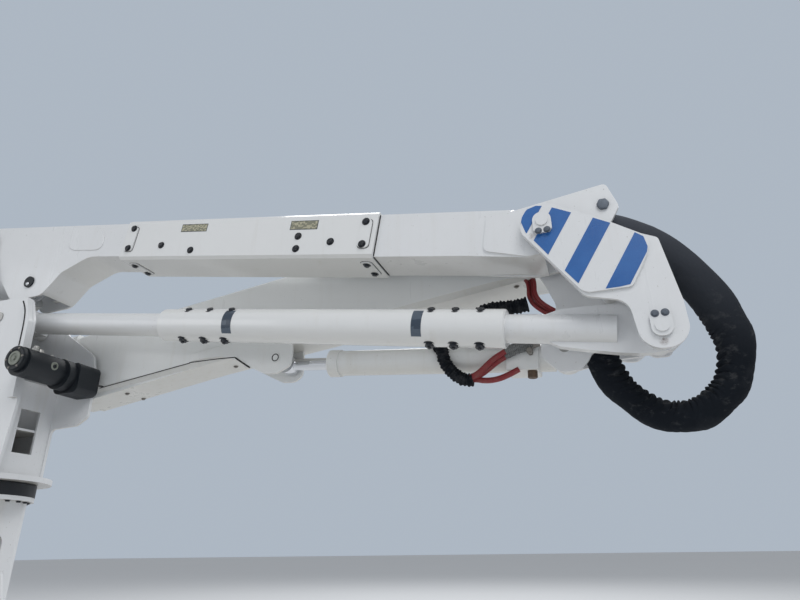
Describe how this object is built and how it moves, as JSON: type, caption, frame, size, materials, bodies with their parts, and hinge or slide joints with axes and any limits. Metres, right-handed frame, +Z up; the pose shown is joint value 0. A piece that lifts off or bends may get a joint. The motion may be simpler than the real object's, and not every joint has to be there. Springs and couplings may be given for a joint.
{
  "type": "articulated aerial lift boom",
  "caption": "Bucket-truck lift boom on its pedestal, with jointed lower boom, elbow, telescoping upper boom and levelled work platform.",
  "frame": {"origin": "centre of the pedestal's base bolt pattern, on the turning axis, at the underside of the base plate", "axes": "+X to the front of the truck along the stowed boom, +Y to the truck's left, +Z up"},
  "size_m": [5.7689, 1.088, 2.4119],
  "materials": {
    "white_paint": "glossy white enamel",
    "fibreglass": "glossy white gel coat",
    "bare_pin": "zinc plated",
    "rod_chrome": "polished hard chrome",
    "black_cast": "satin black paint",
    "hose_sleeve": "matt woven nylon sleeve over rubber hoses",
    "wear_pad": "cast nylon",
    "platform_shell": "glossy white gel coat",
    "control_box": "moulded black"
  },
  "bodies": {
    "pedestal": {"pedestal": "white_paint", "slewing_ring": "black_cast"},
    "turntable": {"turntable_deck": "white_paint", "turntable_side_right": "white_paint", "turntable_side_left": "white_paint", "turntable_webs": "white_paint", "turntable_pins": "bare_pin", "rotation_drive": "black_cast", "auxiliary_pump": "black_cast"},
    "lower_boom": {"lower_boom_rear": "white_paint", "lower_boom_insert": "fibreglass", "lower_boom_head": "white_paint", "lower_boom_pads": "white_paint", "lift_pin_ends": "bare_pin"},
    "link": {"link_rear": "white_paint", "link_insert": "fibreglass", "link_front": "white_paint"},
    "elbow": {"elbow_plate_right": "white_paint", "elbow_plate_inner": "white_paint", "elbow_plate_middle": "white_paint", "elbow_plate_left": "white_paint", "elbow_plate_base": "white_paint", "elbow_cross_tubes": "white_paint", "elbow_pins": "bare_pin", "pin_keepers": "white_paint", "hose_loop": "hose_sleeve"},
    "upper_boom": {"upper_boom_outer": "white_paint", "upper_boom_collar": "white_paint", "upper_cylinder_lug": "white_paint", "lug_pin_ends": "bare_pin", "slide_pads": "wear_pad"},
    "extension": {"extension_tube": "fibreglass", "boom_tip": "white_paint", "levelling_pin": "bare_pin"},
    "platform": {"platform": "platform_shell", "platform_bracket": "white_paint", "platform_controls": "control_box"},
    "upper_barrel": {"upper_cylinder_barrel": "white_paint"},
    "upper_rod": {"upper_cylinder_rod": "rod_chrome"},
    "lift_barrel": {"lift_cylinder_barrel": "white_paint"},
    "lift_rod": {"lift_cylinder_rod": "rod_chrome"}
  },
  "joints": [
    {"name": "turntable_rotation", "type": "hinge", "parent": "pedestal", "child": "turntable", "pos_m": [0, 0, 0.86], "axis": [0, 0, 1], "continuous": true},
    {"name": "lower_boom_lift", "type": "hinge", "parent": "turntable", "child": "lower_boom", "pos_m": [-0.25393, 0, 2.26231], "axis": [0, -1, 0], "range_deg": [0, 80]},
    {"name": "link_lift", "type": "hinge", "parent": "turntable", "child": "link", "pos_m": [0.12307, 0, 1.75231], "axis": [0, -1, 0], "range_deg": [0, 80]},
    {"name": "elbow_levelling", "type": "hinge", "parent": "lower_boom", "child": "elbow", "pos_m": [3.174, 0, 1.75], "axis": [0, 1, 0], "range_deg": [0, 80]},
    {"name": "lift_cylinder_swing", "type": "hinge", "parent": "turntable", "child": "lift_barrel", "pos_m": [-0.48993, 0, 1.48031], "axis": [0, -1, 0], "range_deg": [0, 29.1]},
    {"name": "lift_cylinder_stroke", "type": "slide", "parent": "lift_barrel", "child": "lift_rod", "axis": [0.8248, 0, 0.5655], "range_m": [0, 0.47749]},
    {"name": "upper_boom_lift", "type": "hinge", "parent": "elbow", "child": "upper_boom", "pos_m": [3.36, 0.308, 1.8], "axis": [0, 1, 0], "range_deg": [0, 90]},
    {"name": "upper_cylinder_swing", "type": "hinge", "parent": "elbow", "child": "upper_barrel", "pos_m": [3.187, 0.308, 1.298], "axis": [0, 1, 0], "range_deg": [0, 79.58]},
    {"name": "upper_cylinder_stroke", "type": "slide", "parent": "upper_barrel", "child": "upper_rod", "axis": [-0.9963, 0, 0.0854], "range_m": [0, 0.68007]},
    {"name": "boom_extension", "type": "slide", "parent": "upper_boom", "child": "extension", "axis": [-0.9921, 0, -0.1253], "range_m": [0, 1.1]},
    {"name": "platform_levelling", "type": "hinge", "parent": "extension", "child": "platform", "pos_m": [-0.94087, 0.308, 1.29699], "axis": [0, -1, 0], "range_deg": [0, 90]}
  ],
  "couplings": [
    {"joint": "link_lift", "follows": "lower_boom_lift", "ratio": 1},
    {"joint": "elbow_levelling", "follows": "lower_boom_lift", "ratio": 1},
    {"joint": "lift_cylinder_swing", "follows": "lower_boom_lift", "ratio": 0.36362},
    {"joint": "lift_cylinder_stroke", "follows": "lower_boom_lift", "m_per_rad": 0.34181},
    {"joint": "upper_cylinder_swing", "follows": "upper_boom_lift", "ratio": 0.88373},
    {"joint": "upper_cylinder_stroke", "follows": "upper_boom_lift", "m_per_rad": 0.43273},
    {"joint": "platform_levelling", "follows": "upper_boom_lift", "ratio": 1}
  ]
}
